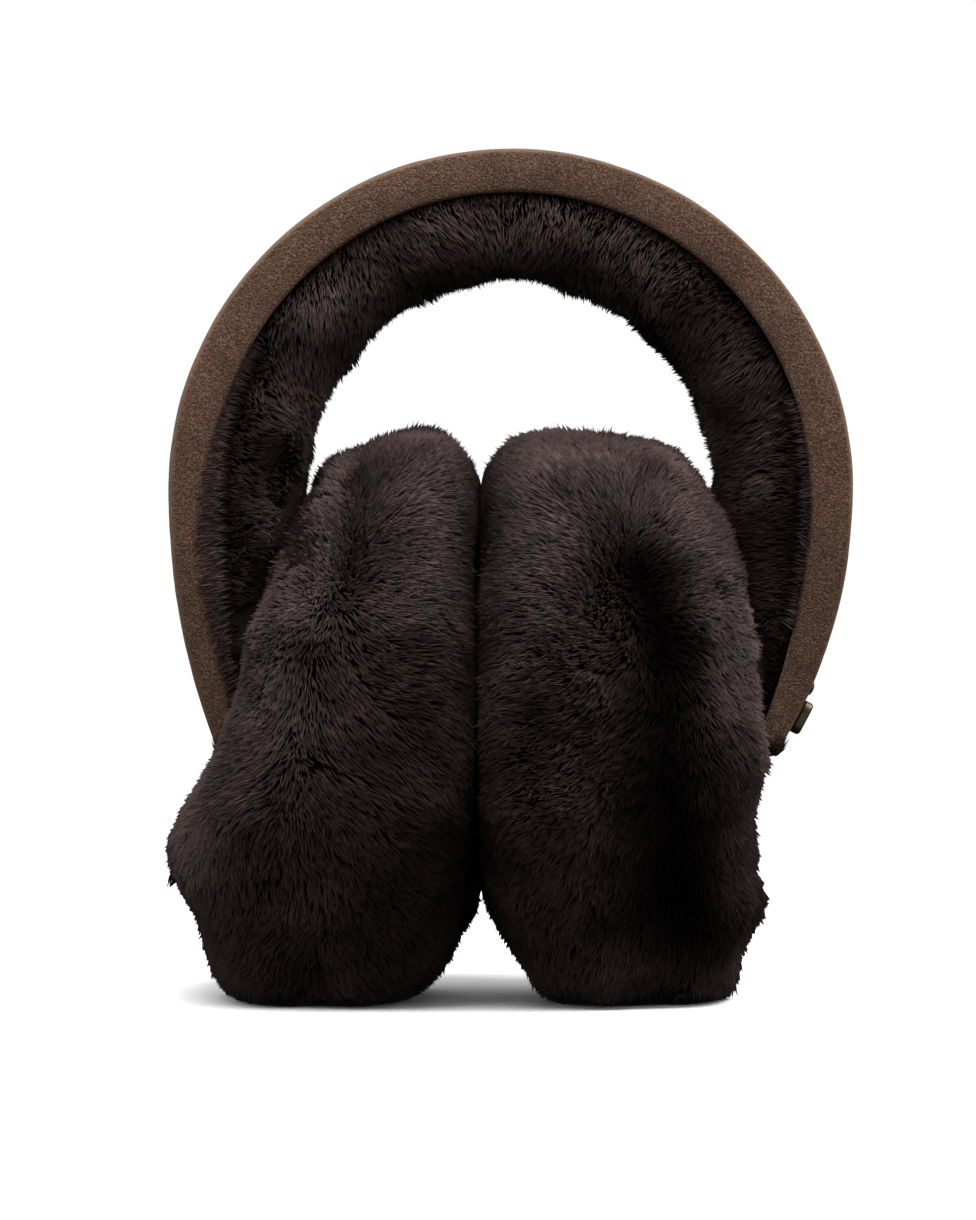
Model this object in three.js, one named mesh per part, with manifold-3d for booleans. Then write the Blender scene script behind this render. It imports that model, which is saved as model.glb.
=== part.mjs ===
// Fur earmuffs: a springy headband in brown suede with a sheepskin lining, and two sheepskin ear cups
// that close on each other. They stand on the fur of the cups, as they are put down after use.
//
// Millimetres. +Z is up and the floor is z = 0. +X is the viewer's right, and -Y faces the viewer.
// "left" and "right" are the viewer's.
import * as THREE from "three";
import { mergeVertices } from "three/addons/utils/BufferGeometryUtils.js";
import Module from "manifold-3d";

const wasm = await Module();
wasm.setup();

// Driving dimensions: the ear cups.
const CUP_HEIGHT = 136;
const CUP_DEPTH = 120;
const CUP_THICKNESS = 60;
const CUP_SETTLE = 6; // how far the fur gives way where a cup stands on the floor
const CUP_YAW = 3; // degrees that both cups turn on the band, their fronts to the left
const CUP_SHIFT = -6.6; // where the cups close on each other, along X
const CUP_TOP_FALL = { left: 20, right: 3 }; // how steeply the tops fall outward, across a whole cup
const CUP_GAP = 0.6; // between the two ear pads
const SEAM_GAP = 0.4;

// Driving dimensions: the headband.
const BAND_RADIUS = 79.2; // outside of the crown
const BAND_HEIGHT = 197; // top of the crown above the floor
const BAND_WIDTH = 42; // front to back, at the crown
const BAND_END_WIDTH = 32;
const BAND_END_HEIGHT = 58; // lower ends of the band above the floor
const RIM_DEPTH = 10.5; // suede seen from the front, at the crown
const RIM_END_DEPTH = 5;
const EDGE_RADIUS = 1.6; // folded long edges of the suede
const LEAST_RADIUS = 0.2; // of the corner inside such a fold
const FACE_CROWN = 2.2; // how far the outer face arches across its width
const SUEDE_WALL = 1.8;
const LINING_PROUD = 18.5; // fur that stands inward past the suede, at the crown
const LINING_SIDE_PROUD = 21; // the same at the sides of the arch
const LINING_PRESS = 5; // fur of lining and cup that crush together where they meet
const LINING_FULLNESS = 0.7; // how square the lining's swell is: 1 is a half round, less is fuller
const LINING_GAP = 0.3; // between the lining and the suede round it
const BAND_SEAT = 0.4; // between the band and the fur that it is sewn to

// Driving dimensions: the metal trim on the right end of the band.
const PLATE_LENGTH = 8;
const PLATE_WIDTH = 13;
const PLATE_THICKNESS = 2.2;
const PLATE_CORNER = 1.6;
const PLATE_BEVEL = 0.4;
const PLATE_HEIGHT = 66; // its middle above the floor
const RIVET_RADIUS = 1.7;
const RIVET_RISE = 1.1;
const RIVET_FOOT = 0.35; // straight side below the rivet's dome
const TRIM_GAP = 0.3; // under the plate and the rivet
const TRIM_SPACE = 0.5; // between the plate and the rivet

// Driving dimensions: the locks of fur. They lie flat on what they grow from, and lie level near the floor.
const CUP_LOCK = { length: 30, width: 22, thickness: 8 };
const LINING_LOCK = { length: 21, width: 17, thickness: 6 };
const LOCK_VARIETY = { size: 0.3, place: 0.3, lean: 0.6 }; // how much the locks differ
const LOCK_CLEAR = { length: 6, width: 9, thickness: 4 }; // what a lock gains to clear itself by 1 mm
const LOCK_BEND = 26; // radius that a lock bends round, to lie on the fur below it
const LOCK_LEVEL_HEIGHT = 60; // below this height the locks turn from hanging to lying level
const LOCK_RISE = 2.5; // how far the locks stand out from their backing, within the sizes above

// How the locks lie: outward from the plane of the seam, away from the middle, and down.
const CUP_COMB = { out: 0.5, away: 0.4, down: 0.8 };
const LINING_COMB = { out: 0.6, away: 1, down: 0.3 };

// A lock's form from its root to its tip, as shares of its length, thickness and width.
const LOCK_FORM = [
  { along: -0.35, up: -0.35, width: 0.75 },
  { along: 0.12, up: 0.05, width: 1 },
  { along: 0.62, up: 0.3, width: 0 },
];

// How finely the shapes are divided.
const CROWN_STEPS = 20;
const SIDE_STEPS = 6;
const CUP_SEGMENTS = 20;
const CORNER_STEPS = 2;
const FACE_STEPS = 2;
const BULGE_STEPS = 6;
const SEAM_STEPS = 8;
const LOCK_SIDES = 3;
const PLATE_CORNER_STEPS = 3;
const RIVET_SEGMENTS = 14;
const RIVET_STEPS = 3;

// A cup's section from the middle of its ear face, round its rim, to the middle of its outer face.
// radius is a share of the cup's half height or depth, and across a share of its thickness.
const CUP_PROFILE = [
  { radius: 0.0, across: -0.03 },
  { radius: 0.36, across: -0.03 },
  { radius: 0.62, across: -0.02 },
  { radius: 0.82, across: 0.01 },
  { radius: 0.94, across: 0.08 },
  { radius: 1.0, across: 0.25 },
  { radius: 0.985, across: 0.42 },
  { radius: 0.955, across: 0.58 },
  { radius: 0.985, across: 0.72 },
  { radius: 0.9, across: 0.87 },
  { radius: 0.7, across: 0.96 },
  { radius: 0.55, across: 0.98 },
  { radius: 0.36, across: 0.99 },
  { radius: 0.0, across: 0.99 },
];

// The cups up their height, as shares of CUP_HEIGHT and CUP_THICKNESS: each cup's thickness and where
// its seam lies in that, and how far the ear side stands back from the other cup. The fur swells below
// the ends of the band.
const CUP_SECTIONS = [
  { height: -0.1, left: 1.1, leftSeam: 0.56, right: 1.05, rightSeam: 0.7, back: 0.25 },
  { height: 0.02, left: 1.12, leftSeam: 0.56, right: 1.09, rightSeam: 0.7, back: 0.21 },
  { height: 0.1, left: 1.08, leftSeam: 0.57, right: 1.13, rightSeam: 0.7, back: 0.1 },
  { height: 0.17, left: 1.12, leftSeam: 0.56, right: 1.13, rightSeam: 0.7, back: 0.03 },
  { height: 0.23, left: 1.19, leftSeam: 0.54, right: 1.1, rightSeam: 0.7, back: 0.01 },
  { height: 0.28, left: 1.19, leftSeam: 0.54, right: 1.05, rightSeam: 0.7, back: 0 },
  { height: 0.34, left: 1.12, leftSeam: 0.56, right: 1.1, rightSeam: 0.68, back: 0 },
  { height: 0.41, left: 0.99, leftSeam: 0.6, right: 1.11, rightSeam: 0.66, back: 0 },
  { height: 0.51, left: 0.94, leftSeam: 0.6, right: 1.09, rightSeam: 0.65, back: 0 },
  { height: 0.6, left: 0.9, leftSeam: 0.6, right: 1.07, rightSeam: 0.63, back: 0 },
  { height: 0.7, left: 0.84, leftSeam: 0.6, right: 1.04, rightSeam: 0.61, back: 0 },
  { height: 0.8, left: 0.79, leftSeam: 0.6, right: 0.99, rightSeam: 0.6, back: 0 },
  { height: 0.92, left: 0.76, leftSeam: 0.6, right: 0.94, rightSeam: 0.58, back: 0 },
  { height: 1.1, left: 0.7, leftSeam: 0.6, right: 0.88, rightSeam: 0.56, back: 0 },
];

// Rows of locks round a cup: where along the profile, how many, and their size against CUP_LOCK.
const CUP_LOCK_ROWS = [
  { along: 0.27, count: 7, size: 0.9 },
  { along: 0.38, count: 9, size: 1.0 },
  { along: 0.51, count: 8, size: 0.95 },
  { along: 0.64, count: 9, size: 1.0 },
  { along: 0.77, count: 8, size: 1.05 },
  { along: 0.9, count: 6, size: 1.0 },
];

// Rows of locks along the lining: where across its bulge, from front to back, and their size.
const LINING_LOCK_ROWS = [
  { across: 0.14, count: 10, size: 0.9 },
  { across: 0.38, count: 10, size: 1.0 },
  { across: 0.62, count: 10, size: 1.0 },
  { across: 0.86, count: 10, size: 0.85 },
];

const SUEDE_COLOUR = 0x5a4636;
const FUR_COLOUR = 0x2b2122;
const METAL_COLOUR = 0x4a463c;

const SIDES = [
  { name: "left", sign: -1 },
  { name: "right", sign: 1 },
];

const cupHalfHeight = (CUP_HEIGHT + CUP_SETTLE) / 2;
const cupCentreHeight = CUP_HEIGHT - cupHalfHeight;
const bandCentreHeight = BAND_HEIGHT - BAND_RADIUS;
const yaw = THREE.MathUtils.degToRad(-CUP_YAW);

// Small helpers.

// A steady number from 0 to 1 for each pair of whole numbers, to vary what repeats.
function vary(a, b) {
  const s = Math.sin(a * 127.1 + b * 311.7) * 43758.5453;
  return s - Math.floor(s);
}

// Reads a table: rows sorted by key, and the value of column at x, in a smooth curve between rows.
function readTable(rows, key, column, x) {
  const after = rows.findIndex((row) => row[key] > x);
  if (after === 0) return rows[0][column];
  if (after < 0) return rows[rows.length - 1][column];
  const a = rows[after - 1];
  const b = rows[after];
  const t = (x - a[key]) / (b[key] - a[key]);
  return THREE.MathUtils.lerp(a[column], b[column], THREE.MathUtils.smoothstep(t, 0, 1));
}

// A three.js geometry as a solid that can be joined and cut.
function solidOf(geometry) {
  const plain = geometry.clone();
  plain.deleteAttribute("normal");
  plain.deleteAttribute("uv");
  const merged = mergeVertices(plain, 1e-4);
  return new wasm.Manifold(
    new wasm.Mesh({
      numProp: 3,
      vertProperties: new Float32Array(merged.attributes.position.array),
      triVerts: new Uint32Array(merged.index.array),
    }),
  );
}

// A solid as a three.js geometry again.
function geometryOf(solid) {
  const mesh = solid.getMesh();
  const geometry = new THREE.BufferGeometry();
  geometry.setAttribute("position", new THREE.BufferAttribute(mesh.vertProperties, 3));
  geometry.setIndex(new THREE.BufferAttribute(mesh.triVerts, 1));
  geometry.computeVertexNormals();
  return geometry;
}

// Six times the volume inside a list of triangles, negative if they face inward.
function signedVolume(points, faces) {
  let sum = 0;
  for (let i = 0; i < faces.length; i += 3) {
    const [a, b, c] = [points[faces[i]], points[faces[i + 1]], points[faces[i + 2]]];
    sum += a.dot(new THREE.Vector3().crossVectors(b, c));
  }
  return sum;
}

// A closed geometry through loops of points, each loop joined to the next and both ends capped.
// An end loop that is a single point is a pole. The loops may run either way round.
function loft(loops) {
  const points = [];
  const faces = [];
  const starts = loops.map((loop) => {
    points.push(...loop);
    return points.length - loop.length;
  });
  const face = (a, b, c) => faces.push(a, b, c);
  for (let i = 0; i + 1 < loops.length; i += 1) {
    const count = Math.max(loops[i].length, loops[i + 1].length);
    const here = (k) => starts[i] + (k % loops[i].length);
    const next = (k) => starts[i + 1] + (k % loops[i + 1].length);
    for (let k = 0; k < count; k += 1) {
      if (loops[i].length > 1) face(here(k), here(k + 1), next(k));
      if (loops[i + 1].length > 1) face(here(k + 1), next(k + 1), next(k));
    }
  }
  const cap = (index, flip) => {
    const loop = loops[index];
    const middle = points.length;
    if (loop.length === 1) return;
    points.push(loop.reduce((sum, p) => sum.add(p), new THREE.Vector3()).divideScalar(loop.length));
    for (let k = 0; k < loop.length; k += 1) {
      const a = starts[index] + k;
      const b = starts[index] + ((k + 1) % loop.length);
      face(middle, ...(flip ? [b, a] : [a, b]));
    }
  };
  cap(0, true);
  cap(loops.length - 1, false);
  if (signedVolume(points, faces) < 0) faces.reverse();
  const geometry = new THREE.BufferGeometry().setFromPoints(points);
  geometry.setIndex(faces);
  return geometry;
}

// The ear cups.

// A cup at a height: its thickness, measured from where the cups close on each other, how far into that
// its seam lies, and how far its ear side stands back.
function cupSection(side, height) {
  const read = (column) => readTable(CUP_SECTIONS, "height", column, height / CUP_HEIGHT);
  const thickness = CUP_THICKNESS * read(side.name);
  return { thickness, seam: thickness * read(`${side.name}Seam`), back: CUP_THICKNESS * read("back") };
}

// A point of a cup's profile: along runs from 0 at the ear face's middle to 1 at the outer face's.
function profileAt(along) {
  const place = THREE.MathUtils.clamp(along, 0, 1) * (CUP_PROFILE.length - 1);
  const index = Math.min(Math.floor(place), CUP_PROFILE.length - 2);
  const a = CUP_PROFILE[index];
  const b = CUP_PROFILE[index + 1];
  const t = place - index;
  return {
    radius: THREE.MathUtils.lerp(a.radius, b.radius, t),
    across: THREE.MathUtils.lerp(a.across, b.across, t),
  };
}

// A point of a cup's surface in the cups' own frame. turn runs round the rim from the top to the front.
function cupPoint(side, along, turn) {
  const { radius, across } = profileAt(along);
  const y = -radius * (CUP_DEPTH / 2 - LOCK_RISE) * Math.sin(turn);
  const fall = CUP_TOP_FALL[side.name] * Math.max(across - 0.5, 0) * Math.max(Math.cos(turn), 0);
  const z = cupCentreHeight + radius * ((cupHalfHeight - LOCK_RISE) * Math.cos(turn) - fall);
  const { thickness, back } = cupSection(side, z);
  return new THREE.Vector3(side.sign * THREE.MathUtils.lerp(back, thickness, across), y, z);
}

// How far a cup's outer face stands from the plane where the cups close, at a height.
function cupReach(side, height) {
  const radius = Math.abs(height - cupCentreHeight) / (cupHalfHeight - LOCK_RISE);
  if (radius >= 1) return 0;
  const widest = CUP_PROFILE.findLastIndex((row) => row.radius > row.across);
  const outer = CUP_PROFILE.slice(widest).reverse();
  return cupSection(side, height).thickness * readTable(outer, "radius", "across", radius);
}

// The headband's line.

// Where an end of the band lies: against the outer face of its cup.
function endReach(side) {
  return side.sign * CUP_SHIFT + cupReach(side, BAND_END_HEIGHT) + RIM_END_DEPTH - LINING_PRESS / 2;
}

// One place on the outside of the band: its point, outward direction and how far down it is, from
// 0 at the widest level and above to 1 at the band's end.
function stationOn(side, angle, radius, centreX, drop) {
  const out = new THREE.Vector3(side.sign * Math.cos(angle), 0, Math.sin(angle));
  const point = new THREE.Vector3(side.sign * centreX, 0, bandCentreHeight);
  point.addScaledVector(out, radius);
  return { side, point, out, drop };
}

// The arc from the widest level down to the end: tangent to the crown, and through the end.
function sideArc(side) {
  const inward = BAND_RADIUS - endReach(side);
  const down = bandCentreHeight - BAND_END_HEIGHT;
  const radius = (inward * inward + down * down) / (2 * inward);
  return { radius, sweep: Math.asin(down / radius), centreX: BAND_RADIUS - radius };
}

function sideStation(side, drop) {
  const arc = sideArc(side);
  return stationOn(side, -drop * arc.sweep, arc.radius, arc.centreX, drop);
}

function crownStation(share) {
  const side = SIDES[share < 0.5 ? 0 : 1];
  const angle = Math.PI * (share < 0.5 ? share : 1 - share);
  return stationOn(side, angle, BAND_RADIUS, 0, 0);
}

// Stations from a drop on the left, over the crown, to the same drop on the right.
function bandStations(lowest) {
  const steps = Array.from({ length: SIDE_STEPS }, (_, i) => (lowest * (SIDE_STEPS - i)) / SIDE_STEPS);
  const crown = Array.from({ length: CROWN_STEPS + 1 }, (_, i) => crownStation(i / CROWN_STEPS));
  return [
    ...steps.map((drop) => sideStation(SIDES[0], drop)),
    ...crown,
    ...steps.reverse().map((drop) => sideStation(SIDES[1], drop)),
  ];
}

// The headband's sizes at a station. The lining stands proud as far as the cup beside it leaves room.
function bandSizes(station) {
  const ease = THREE.MathUtils.smoothstep(station.drop, 0, 1);
  const width = THREE.MathUtils.lerp(BAND_WIDTH, BAND_END_WIDTH, ease);
  const rim = THREE.MathUtils.lerp(RIM_DEPTH, RIM_END_DEPTH, station.drop ** 2);
  const { side, point, out } = station;
  const full = THREE.MathUtils.lerp(LINING_PROUD, LINING_SIDE_PROUD, Math.abs(out.x));
  if (point.z > CUP_HEIGHT) return { width, rim, proud: full };
  const room = side.sign * (point.x - CUP_SHIFT) - cupReach(side, point.z) + LINING_PRESS;
  const free = room / Math.abs(out.x) - rim;
  return { width, rim, proud: THREE.MathUtils.clamp(free, 0, full) };
}

// A point of a section: across is along Y and inward is measured from the outer face.
function sectionPoint(station, across, inward) {
  const point = station.point.clone().addScaledVector(station.out, -inward);
  point.y += across;
  return point;
}

// The suede's outline, as half a loop of { across, inward } from the middle of the outer face to the
// lip, and then mirrored. grow moves it outward all round.
function suedeOutline(width, rim, grow) {
  const half = width / 2 + grow;
  const radius = Math.max(EDGE_RADIUS + grow, LEAST_RADIUS);
  const points = Array.from({ length: FACE_STEPS }, (_, i) => ({
    across: ((half - radius) * i) / FACE_STEPS,
    inward: FACE_CROWN * (i / FACE_STEPS) ** 2 - grow,
  }));
  for (let i = 0; i <= CORNER_STEPS; i += 1) {
    const angle = (Math.PI / 2) * (i / CORNER_STEPS);
    points.push({
      across: half - radius * (1 - Math.sin(angle)),
      inward: FACE_CROWN - grow + radius * (1 - Math.cos(angle)),
    });
  }
  points.push({ across: half, inward: rim + grow });
  return points;
}

function mirrored(half) {
  const back = half.slice(1).reverse();
  return [...half, ...back.map(({ across, inward }) => ({ across: -across, inward }))];
}

// A solid swept along the band. outline gives a section's loop at a station.
function sweep(stations, outline) {
  const loops = stations.map((station) =>
    outline(station, bandSizes(station)).map((p) => sectionPoint(station, p.across, p.inward)),
  );
  return solidOf(loft(loops));
}

// The drops at which the channel and the lining end, which leave a wall of suede below them.
const channelDrop = 1 - SUEDE_WALL / (bandCentreHeight - BAND_END_HEIGHT);
const liningDrop = 1 - (SUEDE_WALL + LINING_GAP) / (bandCentreHeight - BAND_END_HEIGHT);

function channelOutline(width, rim, inset) {
  const half = suedeOutline(width, rim, -inset);
  half[half.length - 1].inward = rim + inset;
  return mirrored(half);
}

function makeHeadbandCover() {
  const whole = sweep(bandStations(1), (_, { width, rim }) => mirrored(suedeOutline(width, rim, 0)));
  const channel = sweep(bandStations(channelDrop), (_, { width, rim }) =>
    channelOutline(width, rim, SUEDE_WALL),
  );
  return whole.subtract(channel);
}

// The lining's loop: it fills the channel, comes out between the lips and swells inward.
function bulgePoint(width, rim, proud, share) {
  const angle = Math.PI * share;
  return {
    across: (-Math.cos(angle) * width) / 2,
    inward: rim + LINING_GAP + proud * Math.sin(angle) ** LINING_FULLNESS,
  };
}

function liningOutline(width, rim, proud, grow) {
  const inset = SUEDE_WALL + LINING_GAP - grow;
  const neck = { across: width / 2 - inset, inward: rim + LINING_GAP };
  const channel = suedeOutline(width, rim, -inset).slice(0, -1);
  const bulge = [];
  for (let i = 1; i < BULGE_STEPS; i += 1) {
    bulge.push(bulgePoint(width, rim, proud + grow, 1 - i / BULGE_STEPS));
  }
  const back = channel.slice(1).reverse();
  return [
    ...channel,
    neck,
    ...bulge,
    { across: -neck.across, inward: neck.inward },
    ...back.map(({ across, inward }) => ({ across: -across, inward })),
  ];
}

// One lock of fur: a tapered wedge with a ridge along its top, rooted in its backing, that leans along
// its lay and bends down to its tip.
function lock(root, out, lay, size) {
  const across = new THREE.Vector3().crossVectors(out, lay).normalize();
  const at = (along, up) => {
    const fall = along ** 2 / (2 * LOCK_BEND);
    return root.clone().addScaledVector(lay, along).addScaledVector(out, up - fall);
  };
  const ring = (row) => {
    const centre = at(size.length * row.along, size.thickness * row.up);
    if (row.width === 0) return [centre];
    return Array.from({ length: LOCK_SIDES }, (_, i) => {
      const angle = Math.PI / 2 + (2 * Math.PI * i) / LOCK_SIDES;
      const point = centre.clone().addScaledVector(across, (Math.cos(angle) * size.width * row.width) / 2);
      return point.addScaledVector(out, (Math.sin(angle) * size.thickness * row.width) / 2);
    });
  };
  return solidOf(loft(LOCK_FORM.map(ring)));
}

// Which way a lock leans: along the surface, as the fur is combed, with a little of its own.
function layAt(out, comb, seed) {
  const own = new THREE.Vector3(vary(seed, 1) - 0.5, vary(seed, 2) - 0.5, vary(seed, 3) - 0.5);
  const lay = comb.clone().addScaledVector(own, LOCK_VARIETY.lean);
  return lay.addScaledVector(out, -lay.dot(out)).normalize();
}

// A lock's own size, a little larger or smaller than its neighbours'. grow clears it all round.
function lockSize(size, share, seed, grow = 0) {
  const scale = share * (1 + LOCK_VARIETY.size * (vary(seed, 4) - 0.5));
  return {
    length: size.length * scale + LOCK_CLEAR.length * grow,
    width: size.width * scale + LOCK_CLEAR.width * grow,
    thickness: size.thickness * scale + LOCK_CLEAR.thickness * grow,
  };
}

// The outward direction of a surface given by a function of two numbers.
function outwardOf(pointAt, u, v, inside) {
  const step = 0.01;
  const alongU = pointAt(u + step, v).sub(pointAt(u - step, v));
  const alongV = pointAt(u, v + step).sub(pointAt(u, v - step));
  const out = new THREE.Vector3().crossVectors(alongU, alongV).normalize();
  return out.dot(pointAt(u, v).sub(inside)) < 0 ? out.negate() : out;
}

function liningLocks(grow) {
  const stations = bandStations(liningDrop);
  const last = stations.length - 1;
  const pointAt = (along, share) => {
    const place = THREE.MathUtils.clamp(along, 0, 1) * last;
    const index = Math.min(Math.floor(place), last - 1);
    const [a, b] = [stations[index], stations[index + 1]].map((station) => {
      const { width, rim, proud } = bandSizes(station);
      const p = bulgePoint(width, rim, proud, share);
      return sectionPoint(station, p.across, p.inward);
    });
    return a.lerp(b, place - index);
  };
  const locks = [];
  LINING_LOCK_ROWS.forEach((row, r) => {
    for (let i = 0; i < row.count; i += 1) {
      const seed = 100 * (r + 1) + i;
      const shift = LOCK_VARIETY.place * (vary(seed, 5) - 0.5) + (r % 2) / 4;
      const along = (i + 0.5 + shift) / (row.count + 0.25);
      const station = stations[Math.round(along * last)];
      const { rim, proud } = bandSizes(station);
      const fits = proud > LINING_LOCK.thickness;
      const middle = sectionPoint(station, 0, rim);
      const root = pointAt(along, row.across);
      const out = outwardOf(pointAt, along, row.across, middle);
      const comb = new THREE.Vector3(0, LINING_COMB.away * (row.across - 0.5), -LINING_COMB.down);
      comb.addScaledVector(station.out, -LINING_COMB.out);
      const size = lockSize(LINING_LOCK, row.size, seed, grow);
      if (fits) locks.push(lock(root, out, layAt(out, comb, seed), size));
    }
  });
  return locks;
}

// What the lips and the wall of the suede need clear round the lining.
function suedeSpace(grow) {
  return sweep(bandStations(1), (_, { width, rim }) => mirrored(suedeOutline(width, rim, grow)));
}

function makeHeadbandLining() {
  const core = sweep(bandStations(liningDrop), (_, { width, rim, proud }) =>
    liningOutline(width, rim, proud, 0),
  );
  const locks = wasm.Manifold.union(liningLocks(0)).subtract(suedeSpace(LINING_GAP));
  return largest(core.add(locks));
}

// The largest of a solid's separate pieces.
function largest(solid) {
  return solid.decompose().reduce((a, b) => (b.volume() > a.volume() ? b : a));
}

// The whole fur body of a cup, before the seam divides it.
function cupBody(side) {
  const last = CUP_PROFILE.length - 1;
  const loops = CUP_PROFILE.map((row, i) => {
    if (row.radius === 0) return [cupPoint(side, i / last, 0)];
    return Array.from({ length: CUP_SEGMENTS }, (_, k) =>
      cupPoint(side, i / last, (2 * Math.PI * (k + (i % 2) / 2)) / CUP_SEGMENTS),
    );
  });
  return solidOf(loft(loops));
}

function cupLocks(side) {
  const middle = new THREE.Vector3((side.sign * CUP_THICKNESS) / 2, 0, cupCentreHeight);
  const pointAt = (along, turn) => cupPoint(side, along, turn);
  const locks = [];
  CUP_LOCK_ROWS.forEach((row, r) => {
    for (let i = 0; i < row.count; i += 1) {
      const seed = 1000 * (side.sign + 2) + 100 * r + i;
      const turn = (2 * Math.PI * (i + (r % 2) / 2 + LOCK_VARIETY.place * vary(seed, 5))) / row.count;
      const root = pointAt(row.along, turn);
      const out = outwardOf(pointAt, row.along, turn, middle);
      const hang = THREE.MathUtils.smoothstep(root.z, 0, LOCK_LEVEL_HEIGHT);
      const comb = new THREE.Vector3(
        side.sign * CUP_COMB.out,
        -Math.sin(turn) * CUP_COMB.away,
        -hang * CUP_COMB.down,
      );
      locks.push(lock(root, out, layAt(out, comb, seed), lockSize(CUP_LOCK, row.size, seed)));
    }
  });
  return locks;
}

// The space of a pad or a cover: above the floor, between two shares of the cup's thickness.
function cupSpace(side, nearer, farther) {
  const top = CUP_HEIGHT + CUP_LOCK.length;
  const heights = Array.from({ length: SEAM_STEPS + 1 }, (_, i) => (i * top) / SEAM_STEPS);
  const near = heights.map((z) => new THREE.Vector2(side.sign * nearer(z), z));
  const far = heights.map((z) => new THREE.Vector2(side.sign * farther(z), z)).reverse();
  const reach = CUP_DEPTH;
  const slab = new THREE.ExtrudeGeometry(new THREE.Shape([...near, ...far]), {
    depth: 2 * reach,
    bevelEnabled: false,
    steps: 1,
  });
  slab.rotateX(Math.PI / 2);
  slab.translate(0, reach, 0);
  return solidOf(slab);
}

// What the band needs clear, in the cups' own turned frame.
function bandSpace() {
  const lining = sweep(bandStations(liningDrop), (_, { width, rim, proud }) =>
    liningOutline(width, rim, proud, BAND_SEAT),
  );
  const locks = wasm.Manifold.union(liningLocks(BAND_SEAT));
  return suedeSpace(BAND_SEAT).add(lining).add(locks);
}

function cupGroup() {
  const group = new THREE.Group();
  group.rotation.z = yaw;
  group.position.x = CUP_SHIFT;
  return group;
}

function intoCupFrame(solid) {
  const group = cupGroup();
  group.updateMatrix();
  const geometry = geometryOf(solid);
  geometry.applyMatrix4(group.matrix.invert());
  return solidOf(geometry);
}

function makeCup(side, band) {
  const fur = cupBody(side).add(wasm.Manifold.union(cupLocks(side)));
  const padSpace = cupSpace(
    side,
    () => CUP_GAP / 2,
    (z) => cupSection(side, z).seam - SEAM_GAP / 2,
  );
  const coverSpace = cupSpace(
    side,
    (z) => cupSection(side, z).seam + SEAM_GAP / 2,
    () => CUP_THICKNESS * 2,
  );
  return {
    pad: largest(fur.intersect(padSpace).subtract(band)),
    cover: largest(fur.intersect(coverSpace).subtract(band)),
  };
}

// The metal trim: a plain plate and a domed rivet above it, on the outer face of the right end.
function roundedPlate() {
  const [w, h, r] = [PLATE_WIDTH / 2 - PLATE_BEVEL, PLATE_LENGTH / 2 - PLATE_BEVEL, PLATE_CORNER];
  const shape = new THREE.Shape();
  shape.moveTo(-w + r, -h);
  shape.absarc(w - r, -h + r, r, -Math.PI / 2, 0);
  shape.absarc(w - r, h - r, r, 0, Math.PI / 2);
  shape.absarc(-w + r, h - r, r, Math.PI / 2, Math.PI);
  shape.absarc(-w + r, -h + r, r, Math.PI, 1.5 * Math.PI);
  const plate = new THREE.ExtrudeGeometry(shape, {
    depth: PLATE_THICKNESS - 2 * PLATE_BEVEL,
    bevelThickness: PLATE_BEVEL,
    bevelSize: PLATE_BEVEL,
    bevelSegments: 1,
    curveSegments: PLATE_CORNER_STEPS,
  });
  plate.translate(0, 0, PLATE_BEVEL);
  return solidOf(plate);
}

function domedRivet() {
  const dome = Array.from({ length: RIVET_STEPS + 1 }, (_, i) => {
    const angle = (Math.PI / 2) * (i / RIVET_STEPS);
    const rise = RIVET_FOOT + (RIVET_RISE - RIVET_FOOT) * Math.sin(angle);
    return new THREE.Vector2(RIVET_RADIUS * Math.cos(angle), rise);
  });
  dome[RIVET_STEPS].x = 0;
  const profile = [new THREE.Vector2(0, 0), new THREE.Vector2(RIVET_RADIUS, 0), ...dome];
  const rivet = new THREE.LatheGeometry(profile, RIVET_SEGMENTS);
  rivet.rotateX(Math.PI / 2);
  return solidOf(rivet);
}

// A group on the outer face of the band's right end, at a height, its own +Z pointing outward.
function trimGroup(height) {
  const side = SIDES[1];
  const arc = sideArc(side);
  const drop = Math.asin((bandCentreHeight - height) / arc.radius) / arc.sweep;
  const station = sideStation(side, drop);
  const group = new THREE.Group();
  group.position.copy(station.point).addScaledVector(station.out, TRIM_GAP);
  group.quaternion.setFromRotationMatrix(
    new THREE.Matrix4().makeBasis(
      new THREE.Vector3(0, 1, 0),
      new THREE.Vector3().crossVectors(station.out, new THREE.Vector3(0, 1, 0)),
      station.out,
    ),
  );
  return group;
}

// The assembly.
const suede = new THREE.MeshStandardMaterial({ color: SUEDE_COLOUR, roughness: 0.95, metalness: 0 });
const fur = new THREE.MeshStandardMaterial({ color: FUR_COLOUR, roughness: 0.9, metalness: 0 });
const metal = new THREE.MeshStandardMaterial({ color: METAL_COLOUR, roughness: 0.45, metalness: 0.9 });

function part(name, solid, material) {
  const mesh = new THREE.Mesh(geometryOf(solid), material);
  mesh.name = name;
  return mesh;
}

const earmuffs = new THREE.Group();
earmuffs.add(part("headband_cover", makeHeadbandCover(), suede));
earmuffs.add(part("headband_lining", makeHeadbandLining(), fur));

const cups = cupGroup();
const bandInCupFrame = intoCupFrame(bandSpace());
for (const side of SIDES) {
  const { pad, cover } = makeCup(side, bandInCupFrame);
  cups.add(part(`ear_pad_${side.name}`, pad, fur));
  cups.add(part(`cup_cover_${side.name}`, cover, fur));
}
earmuffs.add(cups);

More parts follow.
